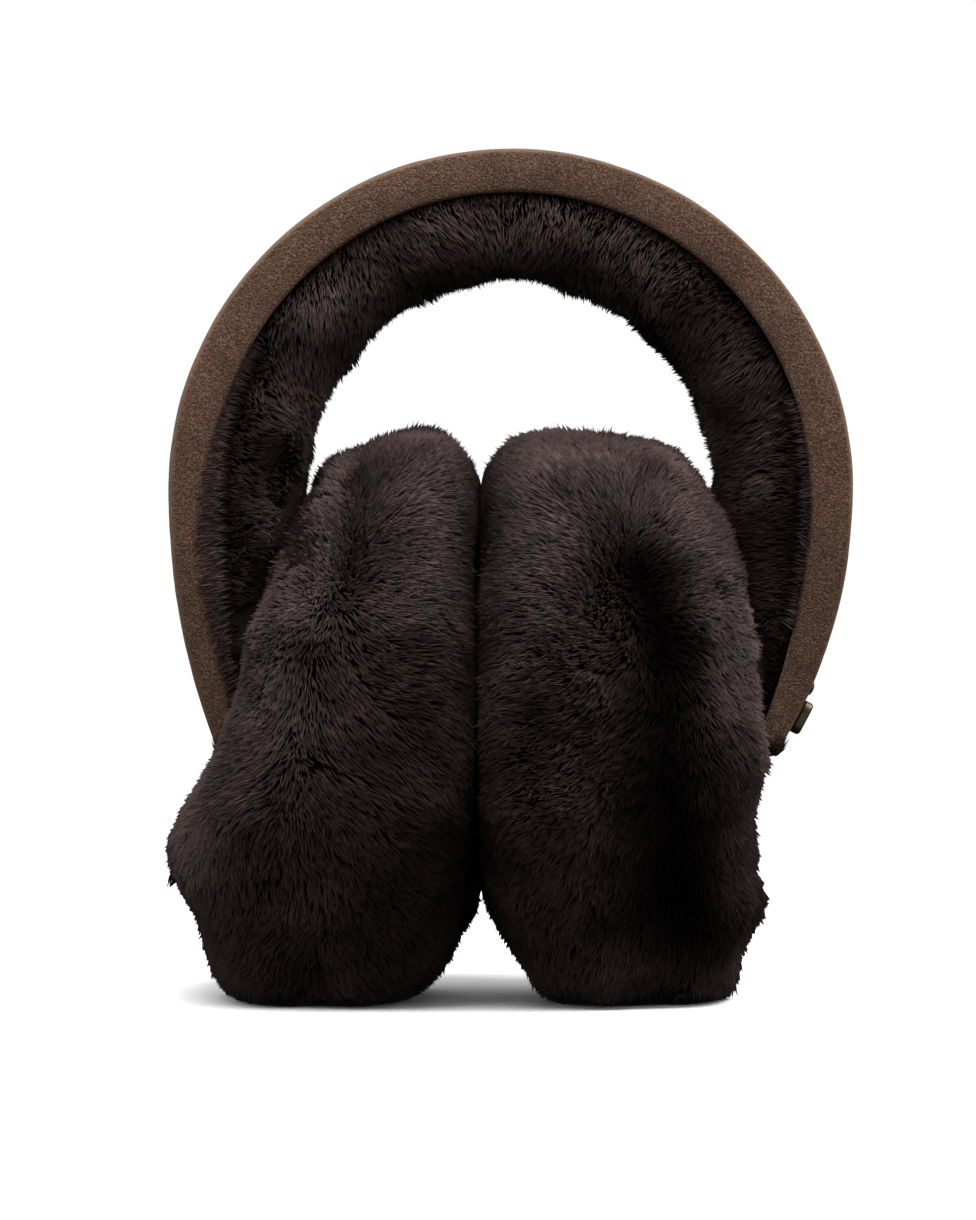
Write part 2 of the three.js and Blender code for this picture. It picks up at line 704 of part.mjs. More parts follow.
const plateGroup = trimGroup(PLATE_HEIGHT);
plateGroup.add(part("side_plate", roundedPlate(), metal));
const rivetGroup = trimGroup(PLATE_HEIGHT + PLATE_LENGTH / 2 + TRIM_SPACE + RIVET_RADIUS);
rivetGroup.add(part("side_rivet", domedRivet(), metal));
earmuffs.add(plateGroup, rivetGroup);

export default earmuffs;
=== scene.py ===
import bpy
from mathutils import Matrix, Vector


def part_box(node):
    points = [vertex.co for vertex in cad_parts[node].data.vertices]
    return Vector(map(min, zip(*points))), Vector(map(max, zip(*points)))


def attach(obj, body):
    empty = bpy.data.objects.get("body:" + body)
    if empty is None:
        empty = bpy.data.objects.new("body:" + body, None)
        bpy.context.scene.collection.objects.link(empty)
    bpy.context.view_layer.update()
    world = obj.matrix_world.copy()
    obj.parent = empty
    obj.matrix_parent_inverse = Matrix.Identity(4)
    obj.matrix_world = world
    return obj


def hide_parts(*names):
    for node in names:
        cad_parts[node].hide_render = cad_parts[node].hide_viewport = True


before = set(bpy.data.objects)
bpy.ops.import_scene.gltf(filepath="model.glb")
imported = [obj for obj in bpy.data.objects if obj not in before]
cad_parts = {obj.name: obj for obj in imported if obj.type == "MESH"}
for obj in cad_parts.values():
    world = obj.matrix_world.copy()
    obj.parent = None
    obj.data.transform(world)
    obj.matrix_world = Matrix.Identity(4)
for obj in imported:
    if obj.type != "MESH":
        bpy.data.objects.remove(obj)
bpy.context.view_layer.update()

import math
from itertools import product

import bmesh
import bpy
import numpy as np
from mathutils import Vector
from mathutils.bvhtree import BVHTree
from mathutils.kdtree import KDTree

bl_info = {
    "name": "Fur earmuffs",
    "version": (1, 0, 0),
    "blender": (4, 5, 0),
    "location": "View3D > Sidebar > Earmuffs",
    "description": "Builds the suede headband, sheepskin lining, fur ear cups and metal trim",
    "category": "Object",
}

MM = 0.001
BODY = "root"

COVER = "headband_cover"
LINING = "headband_lining"
CUPS = {
    "left": ("ear_pad_left", "cup_cover_left"),
    "right": ("ear_pad_right", "cup_cover_right"),
}
TRIM = ("side_plate", "side_rivet")

COVER_LOW, COVER_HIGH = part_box(COVER)
BAND_RADIUS = (COVER_HIGH.x - COVER_LOW.x) / 2
BAND_CENTRE = COVER_HIGH.z - BAND_RADIUS


def length_setting(name, description, default):
    return bpy.props.FloatProperty(name=name, description=description, default=default, unit="LENGTH")


def colour_setting(name, description, default):
    return bpy.props.FloatVectorProperty(
        name=name, description=description, default=default, subtype="COLOR", size=3
    )


class HeadbandSettings(bpy.types.PropertyGroup):
    """Sizes and colours of the suede headband."""

    width: length_setting("Width", "Front to back, at the crown", COVER_HIGH.y - COVER_LOW.y)
    end_width: length_setting("End width", "Front to back, at the lower ends", 32 * MM)
    rim: length_setting("Rim depth", "Suede seen from the front, at the crown", 11.3 * MM)
    end_rim: length_setting("End rim depth", "Suede seen from the front, at the lower ends", 6 * MM)
    wall: length_setting("Wall", "Thickness of the suede with its backing", 1.8 * MM)
    edge_radius: length_setting("Fold radius", "Radius of the folded long edges", 1 * MM)
    face_crown: length_setting("Face arch", "How far the outer face arches across, at the crown", 1.4 * MM)
    end_face_crown: length_setting("End face arch", "The same, at the lower ends", 0.5 * MM)
    suede_colour: colour_setting("Suede", "Main colour of the nap", (0.055, 0.0297, 0.0192))
    fleck_colour: colour_setting("Suede flecks", "Lighter fibres in the nap", (0.128, 0.076, 0.0495))
    shade_colour: colour_setting("Suede shade", "Darker places between the fibres", (0.026, 0.0138, 0.0092))
    # Lighter along the folds: a painted highlight where the folds catch the light.
    fold_highlight_colour: colour_setting("Worn fold", "Nap rubbed light along the folds", (0.115, 0.069, 0.045))


class FurSettings(bpy.types.PropertyGroup):
    """Sizes and colours of the sheepskin."""

    strand_width: length_setting("Strand width", "Width of one strand at its widest", 0.26 * MM)
    depth: length_setting("Pile depth", "How far below the fur's surface a strand starts", 5 * MM)
    reach: length_setting("Strand reach", "How far a strand leans along the skin", 5 * MM)
    unevenness: length_setting("Unevenness", "How much the tips differ in height", 0.3 * MM)
    tuft_spacing: length_setting("Tuft spacing", "Between the finest tufts of strands", 1.2 * MM)
    lock_spacing: length_setting("Lock spacing", "Between the larger locks that the tufts lie in", 6 * MM)
    swell: length_setting("Swell", "How broad the places are where the fur lies one way", 24 * MM)
    # The roots are near black: painted shade deep in the pile.
    root_painted_shade: colour_setting("Roots", "Colour deep in the fur", (0.004, 0.0021, 0.0024))
    shade_colour: colour_setting("Strands", "Colour half way up the strands", (0.014, 0.0076, 0.0084))
    tip_colour: colour_setting("Tips", "Colour of the tips", (0.064, 0.0408, 0.0402))


class TrimSettings(bpy.types.PropertyGroup):
    """Finish of the metal trim."""

    colour: colour_setting("Metal", "Colour of the dark antique metal", (0.085, 0.07, 0.046))
    roughness: bpy.props.FloatProperty(
        name="Roughness",
        description="Roughness of the metal, from mirror to matt",
        default=0.5,
        min=0,
        max=1,
        subtype="FACTOR",
    )


class StageSettings(bpy.types.PropertyGroup):
    """The floor, the light and the camera."""

    floor_colour: colour_setting("Floor", "Colour of the floor", (0.97, 0.97, 0.97))
    room_light: bpy.props.FloatProperty(
        name="Room light",
        description="Strength of the even white light from above and all round",
        default=1.03,
        min=0,
    )
    ground_light: bpy.props.FloatProperty(
        name="Light from below",
        description="Share of the room light that comes up from the floor",
        default=0.12,
        min=0,
        max=1,
        subtype="FACTOR",
    )
    key_power: bpy.props.FloatProperty(
        name="Key light",
        description="Power of the large soft light above and in front",
        default=40,
        min=0,
        unit="POWER",
    )
    distance: length_setting("Camera distance", "From the camera to the earmuffs", 1.1)
    turn: bpy.props.FloatProperty(
        name="Camera turn",
        description="How far the camera stands to the left of straight in front",
        default=math.radians(1.2),
        subtype="ANGLE",
    )
    height_angle: bpy.props.FloatProperty(
        name="Camera height",
        description="How far above level the camera looks from",
        default=math.radians(0.5),
        subtype="ANGLE",
    )
    lens: bpy.props.FloatProperty(
        name="Lens",
        description="Focal length in millimetres",
        default=139.6,
        min=1,
    )
    aim: bpy.props.FloatVectorProperty(
        name="Aim",
        description="The point in the middle of the view",
        default=(-5.1 * MM, 0, 90.3 * MM),
        subtype="XYZ",
        size=3,
    )


SIDES = {"left": -1, "right": 1}

# The suede: places along the band, how broad the painted highlight along its folds is, how far the rims
# bulge, and the height, length and seed of the waves in its surface.
CROWN_STATIONS = 150
SIDE_STATIONS = 50
FOLD_HIGHLIGHT_WIDTH = 0.55 * MM
RIM_BULGE = 0.35 * MM
SUEDE_WAVES = ((0.12 * MM, 14 * MM, 3), (0.06 * MM, 4 * MM, 5))

# The skins that the fur is made on: how fine they are, and their rounds of smoothing.
SKIN_VOXEL = 2 * MM
SKIN_ROUNDS = 34
BODY_VOXEL = 3 * MM
BODY_ROUNDS = 12
SEAM_ROUNDS = 10
NORMAL_ROUNDS = 8

# The wool under the strands: how far it is set in, and from how close to another piece on, its lumps,
# and how full it is. All fur keeps clear of the floor.
BODY_INSET = 4.5 * MM
INSET_FROM = 0.3
BODY_LUMPS = 0.5 * MM
BODY_LUMP_SIZE = 7 * MM
FLOOR_CLEAR = 0.25 * MM

# No strand grows this close under another piece or under the suede, or low on the underside of a cup.
# Those that stay are clear of the suede to past their tips.
NEAR_HIDDEN = 1.5 * MM
UNDER_SUEDE = 5 * MM
UNDERSIDE_HEIGHT = 1.5 * MM
UNDERSIDE_SLOPE = -0.6
RAY_START = 0.3 * MM
TIP_CLEAR = 0.8 * MM

# The strands of each piece, how many places are tried for each strand, how flat the lining's fur lies,
# and the share of a strand's lean that is ahead of its place in the skin.
STRAND_COUNTS = {
    "headband_lining": 44000,
    "ear_pad_left": 38000,
    "ear_pad_right": 42000,
    "cup_cover_left": 47000,
    "cup_cover_right": 47000,
}
TRIES = 3
SEED = 11
LINING_LEAN = 0.45
ROOT_LEAD = 0.4

# How much the strands of one lock or one tuft draw together, and differ in height, lean and direction
# from the next, and how much each strand turns and strays by itself.
LOCKS = {"gather": 0.08, "rise": 0.25 * MM, "lean": 0.15, "turn": 0.14}
TUFT_LIE = {"gather": 0.15, "rise": 0.12 * MM, "lean": 0.1, "turn": 0.06}
STRAND_TURN = 0.06
ROOT_SCATTER = 0.4 * MM
FLOOR_SCATTER = 0.05 * MM
MOST_STRAY = 6

# The lie of the fur: how far it turns to front and back, up and down, and in swirls.
CUP_SPLAY = 0.6
CUP_RISE = 1.1
CUP_FALL = 0.35
LINING_IN = 0.9
LINING_SPLAY = 0.5
LINING_FALL = 0.25
SWIRL = 0.5
SMALL_SWIRL = 0.14

# The shape of one strand: its bend and the place of the bend as shares of its length, how its width
# varies, how round it looks and how much it is lit as the skin under it is. Its blade has four points.
BEND = 0.13
BEND_VARIETY = (0.6, 1.4)
BEND_PLACE = (0.5, 0.62)
WIDTH_VARIETY = (0.7, 1.3)
ROUNDNESS = 0.25
SKIN_LOOK = 0.6
BLADE_FACES = ((0, 2, 1), (3, 1, 2), (0, 1, 3), (0, 3, 2))
BLADE_ALONG = (0, 0.6, 0.6, 1.0)

# The valley that the seam of a cup draws in the fur, between two heights in shares of the cup's height.
# It is widest at the floor, by its flare, and tapers toward the top.
# The dark share of each valley is painted shade on the strands in it, for the shade deep in the valley.
VALLEYS = {
    "ear_pad_left": {"depth": 2.5 * MM, "width": 6 * MM, "dark": 0.4, "low": 0.55, "high": 0.88},
    "ear_pad_right": {"depth": 7 * MM, "width": 13 * MM, "dark": 0.92, "low": 0.14, "high": 0.74},
}
VALLEY_EASE = 0.15
VALLEY_FLARE = 1.7
VALLEY_TAPER = 1.2
PARTING_WIDTH = 26 * MM

# Longer tufts that stand out of the outline, drawn out in small points.
TUFTS = (
    {"place": (-79 * MM, -4 * MM, 36 * MM), "round": 13 * MM, "length": 2.4 * MM},
    {"place": (61 * MM, -4 * MM, 28 * MM), "round": 11 * MM, "length": 2.4 * MM},
)
TUFT_GRAIN = 2.4 * MM
TUFT_GATHER = 0.35
TUFT_EVEN = 0.6
TUFT_EDGE = 0.1

# Fur that spills over the inner edge of the suede, most at one height and less above and below it. Its
# roots lie inward of the edge and its tips stand off the rim, by ranges in millimetres.
FRINGES = (
    {"side": "left", "middle": 103 * MM, "spread": 30 * MM, "over": 5.5 * MM, "strands": 4200},
    {"side": "right", "middle": 112 * MM, "spread": 16 * MM, "over": 1.2 * MM, "strands": 700},
)
FRINGE_REACH = 1.8
FRINGE_SLIDE = 1.2 * MM
FRINGE_FAN = 1 * MM
FRINGE_INSET = 3 * MM
FRINGE_ROOTS = (1.5, 4)
FRINGE_OUT = (0.3, 1.2)
FRINGE_THIN = 1.5
FRINGE_SHADES = (0.8, 1.3)

# Fur of the cups that closes round the ends of the band: behind the band, under its end and in front.
# Half of it is a wedge under the end, and the rest climbs a little up the rims. The ranges, in
# millimetres, are how high tips stand and how far back and down their roots are.
CUFF_STRANDS = 1600
CUFF_FACES = (-1, 0, 0, 1)
CUFF_DROP = 8 * MM
WEDGE_TIPS = (0, 1.2)
WEDGE_ROOTS = ((2.5, 4), (2, 3.5))
CUFF_REACH = 4 * MM
CUFF_TIPS = (0.1, 0.6)
CUFF_ROOTS = ((2, 4), (0.5, 2))
CUFF_SCATTER = 0.3 * MM
CUFF_SHADES = (0.7, 1.2)

# The cups settle where they stand: how far the fur gives, up to what height, and how far it spreads
# sideways above the floor.
SETTLE = 3 * MM
SETTLE_HEIGHT = 16 * MM
SPREAD = 0.5 * MM
SPREAD_HEIGHT = 30 * MM

# How far the fur stands out past the solids, and the lumps in it.
FULLNESS = 0.5 * MM
LUMPS = 0.9 * MM
LUMP_SIZE = 13 * MM

# Painted shade, darkest where the cups close on each other, and in their lower halves near there.
CREVICE = 20 * MM
CREVICE_PAINTED_SHADE = 0.55
LOWER = 50 * MM
LOWER_PAINTED_SHADE = {"ear_pad_left": 0.4, "ear_pad_right": 0.15}
LOWER_TOP = 0.62
LOWER_EASE = 0.25
LOWER_FULL = 1.6

# The lining's wool has painted shade lower down and painted light toward the crown, from one share of the
# arch's height on.
LINING_SHADE = 0.75
CROWN_PAINTED_LIGHT = 0.85
BRIGHT_FROM = 0.4
BRIGHT_EASE = 0.35

# The studio.
FLOOR_HALF = 80.0
HORIZON = (-0.08, -0.01)
KEY_PLACE = (0.22, -0.42, 1.15)
KEY_AIM = (0, 0, 0.1)
KEY_SIZE = (1.6, 0.6)
SENSOR_WIDTH = 36


# Helpers for numbers and meshes.


def smoothstep(x):
    x = np.clip(x, 0, 1)
    return x * x * (3 - 2 * x)


def unit(vectors):
    length = np.linalg.norm(vectors, axis=-1, keepdims=True)
    return vectors / np.maximum(length, 1e-12)


def noise(points, scale, seed):
    """Smooth noise from -1 to 1 at each point, with one swell in each length of scale."""
    place = points / scale + 13.7 * seed
    cell = np.floor(place)
    share = smoothstep(place - cell)
    total = np.zeros(len(points))
    for corner in product((0, 1), repeat=3):
        hashed = np.sin((cell + corner) @ (12.9898, 78.233, 37.719) + seed) * 43758.5453
        weight = np.where(corner, share, 1 - share).prod(axis=1)
        total += weight * (hashed - np.floor(hashed))
    return 2 * total - 1


def vector_noise(points, scale, seed):
    return np.stack([noise(points, scale, seed + 0.37 * i) for i in range(3)], axis=1)


def vertices_of(mesh):
    points = np.empty(len(mesh.vertices) * 3)
    mesh.vertices.foreach_get("co", points)
    return points.reshape(-1, 3)


def triangles_of(mesh):
    mesh.calc_loop_triangles()
    corners = np.empty(len(mesh.loop_triangles) * 3, np.int32)
    mesh.loop_triangles.foreach_get("vertices", corners)
    return corners.reshape(-1, 3)


def normals_of(mesh):
    normals = np.empty(len(mesh.vertices) * 3, np.float32)
    mesh.vertices.foreach_get("normal", normals)
    return normals.reshape(-1, 3).astype(float)


def add_object(name, mesh):
    obj = bpy.data.objects.new(name, mesh)
    bpy.context.scene.collection.objects.link(obj)
    return obj


def finish_piece(obj, material, replaced=()):
    """Sets the material, slot, body and replaced nodes of a piece."""
    obj.data.materials.clear()
    obj.data.materials.append(material)
    if replaced:
        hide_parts(*replaced)
    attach(obj, BODY)


# Materials.


def new_material(name, roughness):
    material = bpy.data.materials.new(name)
    material.use_nodes = True
    shader = material.node_tree.nodes["Principled BSDF"]
    shader.inputs["Roughness"].default_value = roughness
    return material, material.node_tree, shader


def add_noise(tree, size, detail, roughness=0.5):
    """Noise whose grains are about size across, in metres."""
    place = tree.nodes.new("ShaderNodeTexCoord")
    texture = tree.nodes.new("ShaderNodeTexNoise")
    texture.inputs["Scale"].default_value = 1 / size
    texture.inputs["Detail"].default_value = detail
    texture.inputs["Roughness"].default_value = roughness
    tree.links.new(place.outputs["Object"], texture.inputs["Vector"])
    return texture.outputs["Fac"]


def add_ramp(tree, source, stops):
    """A colour ramp over source. stops are pairs of a place and a colour."""
    ramp = tree.nodes.new("ShaderNodeValToRGB")
    elements = ramp.color_ramp.elements
    while len(elements) < len(stops):
        elements.new(0.5)
    for element, (place, colour) in zip(elements, stops):
        element.position = place
        element.color = (*colour, 1)
    tree.links.new(source, ramp.inputs["Fac"])
    return ramp.outputs["Color"]


def add_attribute(tree, name):
    attribute = tree.nodes.new("ShaderNodeAttribute")
    attribute.attribute_name = name
    return attribute.outputs["Fac"]


def add_range(tree, source, low, high, to_low, to_high):
    """source, from low to high, moved onto to_low to to_high."""
    mapped = tree.nodes.new("ShaderNodeMapRange")
    mapped.inputs["From Min"].default_value = low
    mapped.inputs["From Max"].default_value = high
    mapped.inputs["To Min"].default_value = to_low
    mapped.inputs["To Max"].default_value = to_high
    tree.links.new(source, mapped.inputs["Value"])
    return mapped.outputs["Result"]


def add_product(tree, a, b):
    times = tree.nodes.new("ShaderNodeMath")
    times.operation = "MULTIPLY"
    tree.links.new(a, times.inputs[0])
    tree.links.new(b, times.inputs[1])
    return times.outputs["Value"]


def add_tint(tree, colour, strength):
    """colour made brighter or darker by strength."""
    scale = tree.nodes.new("ShaderNodeVectorMath")
    scale.operation = "SCALE"
    tree.links.new(colour, scale.inputs["Vector"])
    tree.links.new(strength, scale.inputs["Scale"])
    return scale.outputs["Vector"]


def add_blend(tree, factor, source, colour):
    """source, blended toward a plain colour by factor."""
    mix = tree.nodes.new("ShaderNodeMix")
    mix.data_type = "RGBA"
    amount, first, second = (mix.inputs[i] for i in (0, 6, 7))
    tree.links.new(factor, amount)
    tree.links.new(source, first)
    second.default_value = (*colour, 1)
    return mix.outputs[2]


def add_bump(tree, shader, height, distance):
    bump = tree.nodes.new("ShaderNodeBump")
    bump.inputs["Distance"].default_value = distance
    tree.links.new(height, bump.inputs["Height"])
    tree.links.new(bump.outputs["Normal"], shader.inputs["Normal"])


def make_suede(settings):
    """Napped suede: matt, mottled by the lie of the nap, with lighter fibres standing out of it."""
    material, tree, shader = new_material("Brown suede", 0.95)
    fibres = add_noise(tree, 0.45 * MM, detail=2, roughness=0.6)
    tones = (settings.shade_colour, settings.suede_colour, settings.fleck_colour)
    flecks = add_ramp(tree, fibres, list(zip((0.34, 0.5, 0.7), tones)))
    cloud = add_range(tree, add_noise(tree, 9 * MM, detail=3), 0.3, 0.7, 0.82, 1.16)
    nap = add_tint(tree, flecks, cloud)
    # Lighter along the folds: a painted highlight where the folds catch the light.
    worn = add_blend(tree, add_attribute(tree, "wear"), nap, settings.fold_highlight_colour)
    tree.links.new(worn, shader.inputs["Base Color"])
    shader.inputs["Specular IOR Level"].default_value = 0.1
    shader.inputs["Sheen Weight"].default_value = 0.18
    shader.inputs["Sheen Roughness"].default_value = 0.5
    shader.inputs["Sheen Tint"].default_value = (0.75, 0.55, 0.4, 1)
    add_bump(tree, shader, fibres, 0.35 * MM)
    return material


def make_pile(settings):
    """Sheepskin strands: near black at the root, for painted shade deep in the pile, brown with a hint of
    purple at the tip.
    """
    material, tree, shader = new_material("Sheepskin pile", 0.55)
    # The shade attribute holds each strand's painted shade and painted light, and the random tone of the
    # fringe and cuff strands.
    shade = add_attribute(tree, "shade")
    tones = (settings.root_painted_shade, settings.shade_colour, settings.tip_colour)
    colour = add_ramp(tree, add_attribute(tree, "along"), list(zip((0.0, 0.55, 1.0), tones)))
    island = tree.nodes.new("ShaderNodeNewGeometry").outputs["Random Per Island"]
    own = add_range(tree, island, 0, 1, 0.78, 1.22)
    patch = add_range(tree, add_noise(tree, 16 * MM, detail=2), 0.3, 0.7, 0.52, 1.4)
    strength = add_product(tree, add_product(tree, own, patch), shade)
    tree.links.new(add_tint(tree, colour, strength), shader.inputs["Base Color"])
    # The painted shade takes gloss off the strands as well.
    gloss = add_range(tree, shade, 0, 1, 0, 0.1)
    tree.links.new(gloss, shader.inputs["Specular IOR Level"])
    shader.inputs["Specular Tint"].default_value = (1, 0.86, 0.86, 1)
    return material


def make_underfur(settings):
    """The dense wool that the strands grow from, nearly black for painted shade deep in the pile."""
    material, tree, shader = new_material("Sheepskin underfur", 0.9)
    wool = add_noise(tree, 0.9 * MM, detail=3)
    dark = [0.5 * c for c in settings.root_painted_shade]
    pale = [0.6 * c for c in settings.shade_colour]
    colour = add_ramp(tree, wool, [(0.3, dark), (0.75, pale)])
    tree.links.new(colour, shader.inputs["Base Color"])
    shader.inputs["Specular IOR Level"].default_value = 0.05
    add_bump(tree, shader, wool, 0.6 * MM)
    return material


def make_metal(settings):
    """Dark antique metal, a little worn and stained."""
    material, tree, shader = new_material("Antique metal", settings.roughness)
    shader.inputs["Metallic"].default_value = 1
    worn = [1.6 * c for c in settings.colour]
    dull = [0.6 * c for c in settings.colour]
    stain = add_noise(tree, 1.6 * MM, detail=4)
    colour = add_ramp(tree, stain, [(0.3, dull), (0.5, settings.colour), (0.75, worn)])
    tree.links.new(colour, shader.inputs["Base Color"])
    add_bump(tree, shader, add_noise(tree, 0.35 * MM, detail=2), 0.03 * MM)
    return material


# The headband's line and its suede.


def band_ends():
    """How far out the lower ends of the band are, on each side, and their height."""
    points = vertices_of(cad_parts[COVER].data)
    reach = {}
    for name, sign in SIDES.items():
        own = points[points[:, 0] * sign > 0]
        reach[name] = abs(own[own[:, 2].argmin(), 0])
    return reach, points[:, 2].min()


def station(sign, angle, radius, centre, drop):
    """One place on the outside of the band: its point, outward direction and how far down it is."""
    out = np.array([sign * math.cos(angle), 0, math.sin(angle)])
    point = np.array([sign * centre, 0, BAND_CENTRE]) + out * radius
    return point, out, drop


def band_stations():
    """Stations from the left end over the crown to the right end, as the solid headband has them."""
    reach, end_height = band_ends()
    down = BAND_CENTRE - end_height
    sides = {}
    for name, sign in SIDES.items():
        inward = BAND_RADIUS - reach[name]
        radius = (inward**2 + down**2) / (2 * inward)
        sweep = math.asin(down / radius)
        drops = [(i + 1) / SIDE_STATIONS for i in range(SIDE_STATIONS)]
        sides[name] = [station(sign, -d * sweep, radius, BAND_RADIUS - radius, d) for d in drops]
    crown = []
    for i in range(CROWN_STATIONS + 1):
        angle = math.pi * i / CROWN_STATIONS
        sign = -1 if i < CROWN_STATIONS / 2 else 1
        crown.append(station(sign, angle if sign < 0 else math.pi - angle, BAND_RADIUS, 0, 0))
    return [*reversed(sides["left"]), *crown, *sides["right"]]


def suede_section(settings, width, rim, crown, solid):
    """The suede's section: pairs of across and inward, once round. solid closes the channel."""
    half = width / 2
    radius = settings.edge_radius
    lip = settings.wall / 2
    outer = [(half - radius) * t for t in np.linspace(0, 1, 9)]
    points = [(x, crown * (x / (half - radius)) ** 2) for x in outer]
    for angle in np.linspace(0.2, 1, 6) * math.pi / 2:
        points.append((half - radius * (1 - math.sin(angle)), crown + radius * (1 - math.cos(angle))))
    start = crown + radius
    for share in np.linspace(0.1, 1, 9):
        swell = RIM_BULGE * math.sin(math.pi * share)
        points.append((half + swell, start + (rim - lip - start) * share))
    for angle in np.linspace(0.2, 1, 5) * math.pi:
        points.append((half - lip * (1 - math.cos(angle)), rim - lip + lip * math.sin(angle)))
    inner = half - settings.wall
    floor = rim - lip if solid else crown + radius
    for share in (0.25, 0.5, 0.75, 1):
        points.append((inner, rim - lip + (floor - rim + lip) * share))
    points.append((0, floor if solid else settings.wall))
    mirrored = [(-x, inward) for x, inward in reversed(points[1:-1])]
    return points + mirrored


def band_sizes(settings, drop):
    """Width, rim depth and face arch of the band, drop of the way down one of its sides."""
    ease = float(smoothstep(drop))
    width = settings.width + (settings.end_width - settings.width) * ease
    rim = settings.rim + (settings.end_rim - settings.rim) * drop**2
    crown = settings.face_crown + (settings.end_face_crown - settings.face_crown) * ease
    return width, rim, crown


def sweep_band(settings):
    """The suede swept along the band, with slight unevenness along its edges."""
    loops = []
    wear = []
    stations = band_stations()
    for i, (point, out, drop) in enumerate(stations):
        width, rim, crown = band_sizes(settings, drop)
        section = suede_section(settings, width, rim, crown, i < 2 or i > len(stations) - 3)
        loops.append([point - out * inward + np.array([0, x, 0]) for x, inward in section])
        # How much of the painted highlight along the folds each point has, strongest at their corners.
        fold = [math.hypot(width / 2 - abs(x), inward - crown) / FOLD_HIGHLIGHT_WIDTH for x, inward in section]
        wear.extend(math.exp(-(far**2)) for far in fold)
    points = np.array(loops)
    rows, count = points.shape[:2]
    flat = points.reshape(-1, 3)
    flat += sum(height * vector_noise(flat, length, seed) for height, length, seed in SUEDE_WAVES)
    faces = []
    for i in range(rows - 1):
        for k in range(count):
            nxt = (k + 1) % count
            here, ahead = i * count, (i + 1) * count
            faces.append((here + k, here + nxt, ahead + nxt, ahead + k))
    faces.append(tuple(reversed(range(count))))
    faces.append(tuple((rows - 1) * count + k for k in range(count)))
    mesh = bpy.data.meshes.new("headband_suede")
    mesh.from_pydata(flat.tolist(), [], faces)
    mesh.validate()
    mesh.attributes.new("wear", "FLOAT", "POINT").data.foreach_set("value", wear)
    return mesh


def face_outward(mesh):
    """Turns a closed mesh's faces outward."""
    work = bmesh.new()
    work.from_mesh(mesh)
    bmesh.ops.triangulate(work, faces=[f for f in work.faces if len(f.verts) > 4])
    bmesh.ops.recalc_face_normals(work, faces=work.faces)
    work.to_mesh(mesh)
    work.free()
    mesh.shade_smooth()


# The fur.


def side_of(name):
    return name.rsplit("_", 1)[1]


def others(nodes):
    """The names of what stands round some nodes, apart from the small trim."""
    return [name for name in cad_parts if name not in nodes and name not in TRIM]


def joined(nodes):
    """The points and triangles of several nodes together."""
    points = []
    faces = []
    for name in nodes:
        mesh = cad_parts[name].data
        faces.extend((triangles_of(mesh) + len(points)).tolist())
        points.extend(vertices_of(mesh).tolist())
    return points, faces


def tree_of(nodes):
    return BVHTree.FromPolygons(*joined(nodes))


def distances(tree, places, limit):
    """How far each place is from the nearest surface of a tree, up to a limit."""
    found = (tree.find_nearest(Vector(place), limit)[3] for place in places)
    return np.array([limit if far is None else far for far in found])


def softened(nodes, voxel, rounds):
    """The outer form of fur nodes that touch, as one mesh, with the locks softened to tufts."""
    points, faces = joined(nodes)
    mesh = bpy.data.meshes.new("form")
    mesh.from_pydata(points, [], faces)
    obj = add_object("form", mesh)
    remesh = obj.modifiers.new("Remesh", "REMESH")
    remesh.mode = "VOXEL"
    remesh.voxel_size = voxel
    smooth = obj.modifiers.new("Smooth", "SMOOTH")
    smooth.factor = 0.5
    smooth.iterations = rounds
    depsgraph = bpy.context.evaluated_depsgraph_get()
    form = bpy.data.meshes.new_from_object(obj.evaluated_get(depsgraph))
    bpy.data.objects.remove(obj)
    return form


def seam_distance(nodes, places):
    """How far each place is from the seam between the two nodes of a cup."""
    limit = 2 * PARTING_WIDTH
    return np.maximum(*(distances(tree_of([node]), places, limit) for node in nodes))


def valley_share(nodes, points, far):
    """How much of its cup's valley each point has, from 0 to 1. far is its distance from the seam."""
    valley = VALLEYS[nodes[0]]
    height = points[:, 2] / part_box(nodes[0])[1].z
    rise = smoothstep((height - valley["low"]) / VALLEY_EASE + 1)
    fall = smoothstep((valley["high"] - height) / VALLEY_EASE + 1)
    width = valley["width"] * (VALLEY_FLARE - VALLEY_TAPER * height)
    return rise * fall * np.exp(-((far / width) ** 2))


def relax(mesh, rounds):
    """Evens out folds in a mesh."""
    form = bmesh.new()
    form.from_mesh(mesh)
    for _ in range(rounds):
        bmesh.ops.smooth_vert(
            form, verts=form.verts, factor=0.5, use_axis_x=True, use_axis_y=True, use_axis_z=True
        )
    form.to_mesh(mesh)
    form.free()


def carve_valley(mesh, nodes):
    """Draws the skin in along the seam between a cup's pad and its cover."""
    if len(nodes) < 2:
        return
    points = vertices_of(mesh)
    share = valley_share(nodes, points, seam_distance(nodes, points))
    depth = VALLEYS[nodes[0]]["depth"] * share
    mesh.vertices.foreach_set("co", (points - depth[:, None] * normals_of(mesh)).ravel())
    relax(mesh, SEAM_ROUNDS)
    mesh.update()


def fill_out(mesh):
    """Gives the fur its full, lumpy form, and lets it down onto the floor under its weight."""
    points = vertices_of(mesh)
    out = normals_of(mesh)
    points += out * (FULLNESS + LUMPS * noise(points, LUMP_SIZE, 6))[:, None]
    level = np.clip(points[:, 2] / SPREAD_HEIGHT, 0, 1)
    points += SPREAD * np.sin(math.pi * level)[:, None] * out * (1, 1, 0)
    points[:, 2] -= SETTLE * smoothstep(1 - points[:, 2] / SETTLE_HEIGHT)
    points[:, 2] = np.maximum(points[:, 2], FLOOR_CLEAR)
    mesh.vertices.foreach_set("co", points.ravel())
    mesh.update()


